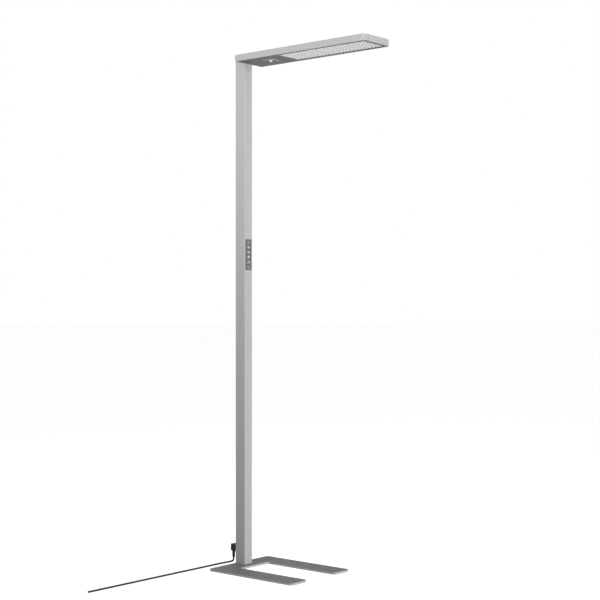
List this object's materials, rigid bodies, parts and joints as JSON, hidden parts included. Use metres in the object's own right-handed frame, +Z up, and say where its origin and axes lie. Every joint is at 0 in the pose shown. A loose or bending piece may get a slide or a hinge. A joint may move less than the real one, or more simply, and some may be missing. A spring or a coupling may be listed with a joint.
{
  "type": "office floor lamp",
  "caption": "Floor lamp with a flat U-shaped base, a rectangular column, a thin cantilevered light head and a mains cord.",
  "frame": {"origin": "on the column's axis at floor level, on the underside of the glide below the column", "axes": "+Z up along the column, +X from the column along the head and the base's legs, +Y to the left of +X"},
  "size_m": [0.7313, 0.875, 1.95],
  "materials": {
    "base_paint": "fine silver powder coat",
    "glide_plastic": "matt",
    "screw_steel": "zinc plated",
    "cast_aluminium": "as machined",
    "satin_silver": "satin silver",
    "cover_silver": "satin silver sheet",
    "clear_acrylic": "clear moulded prisms",
    "white_reflector": "white",
    "white_board": "white solder mask",
    "light_chip": "phosphor",
    "driver_case": "white",
    "grey_plastic": "matt grey",
    "sensor_lens_plastic": "milky",
    "green_board": "solder mask",
    "strip_plastic": "matt foil",
    "switch_black": "matt",
    "black_plastic": "fine grain",
    "brass_pin": "plated",
    "boot_rubber": "matt",
    "cord_rubber": "matt"
  },
  "bodies": {
    "lamp": {"base_plate": "base_paint", "cap_screws": "screw_steel", "column_foot_block": "cast_aluminium", "column_head_block": "cast_aluminium", "column_profile": "satin_silver", "column_top_cap": "satin_silver", "connector_boot": "boot_rubber", "control_bezel": "strip_plastic", "downlight_board": "white_board", "downlight_leds": "light_chip", "downlight_reflector": "white_reflector", "end_plate_screws": "screw_steel", "floor_glides": "glide_plastic", "foot_screws": "screw_steel", "head_end_plate": "satin_silver", "head_frame": "satin_silver", "head_yoke": "cast_aluminium", "heat_spreader": "cast_aluminium", "inlet_pins": "brass_pin", "joint_screws": "screw_steel", "keypad_board": "green_board", "keypad_switches": "switch_black", "led_driver": "driver_case", "mains_connector": "black_plastic", "mains_cord": "cord_rubber", "mains_inlet": "black_plastic", "prism_panel": "clear_acrylic", "sensor_board": "green_board", "sensor_collar": "grey_plastic", "sensor_lens": "sensor_lens_plastic", "supply_cable": "cord_rubber", "terminal_block": "grey_plastic", "top_cover": "cover_silver", "top_cover_screws": "screw_steel", "underside_cover": "cover_silver", "uplight_board": "white_board", "uplight_leds": "light_chip", "uplight_pane": "clear_acrylic", "yoke_screws": "screw_steel"},
    "key_presence": {"key_presence": "strip_plastic"},
    "key_uplight": {"key_uplight": "strip_plastic"},
    "key_downlight": {"key_downlight": "strip_plastic"},
    "key_dim_down": {"key_dim_down": "strip_plastic"},
    "key_dim_up": {"key_dim_up": "strip_plastic"},
    "key_standby": {"key_standby": "strip_plastic"}
  },
  "joints": [
    {"name": "press_presence", "type": "slide", "parent": "lamp", "child": "key_presence", "axis": [-1, 0, 0], "range_m": [0, 0.0006], "stiffness_N_per_m": 2500},
    {"name": "press_uplight", "type": "slide", "parent": "lamp", "child": "key_uplight", "axis": [-1, 0, 0], "range_m": [0, 0.0006], "stiffness_N_per_m": 2500},
    {"name": "press_downlight", "type": "slide", "parent": "lamp", "child": "key_downlight", "axis": [-1, 0, 0], "range_m": [0, 0.0006], "stiffness_N_per_m": 2500},
    {"name": "press_dim_down", "type": "slide", "parent": "lamp", "child": "key_dim_down", "axis": [-1, 0, 0], "range_m": [0, 0.0006], "stiffness_N_per_m": 2500},
    {"name": "press_dim_up", "type": "slide", "parent": "lamp", "child": "key_dim_up", "axis": [-1, 0, 0], "range_m": [0, 0.0006], "stiffness_N_per_m": 2500},
    {"name": "press_standby", "type": "slide", "parent": "lamp", "child": "key_standby", "axis": [-1, 0, 0], "range_m": [0, 0.0006], "stiffness_N_per_m": 2500}
  ]
}
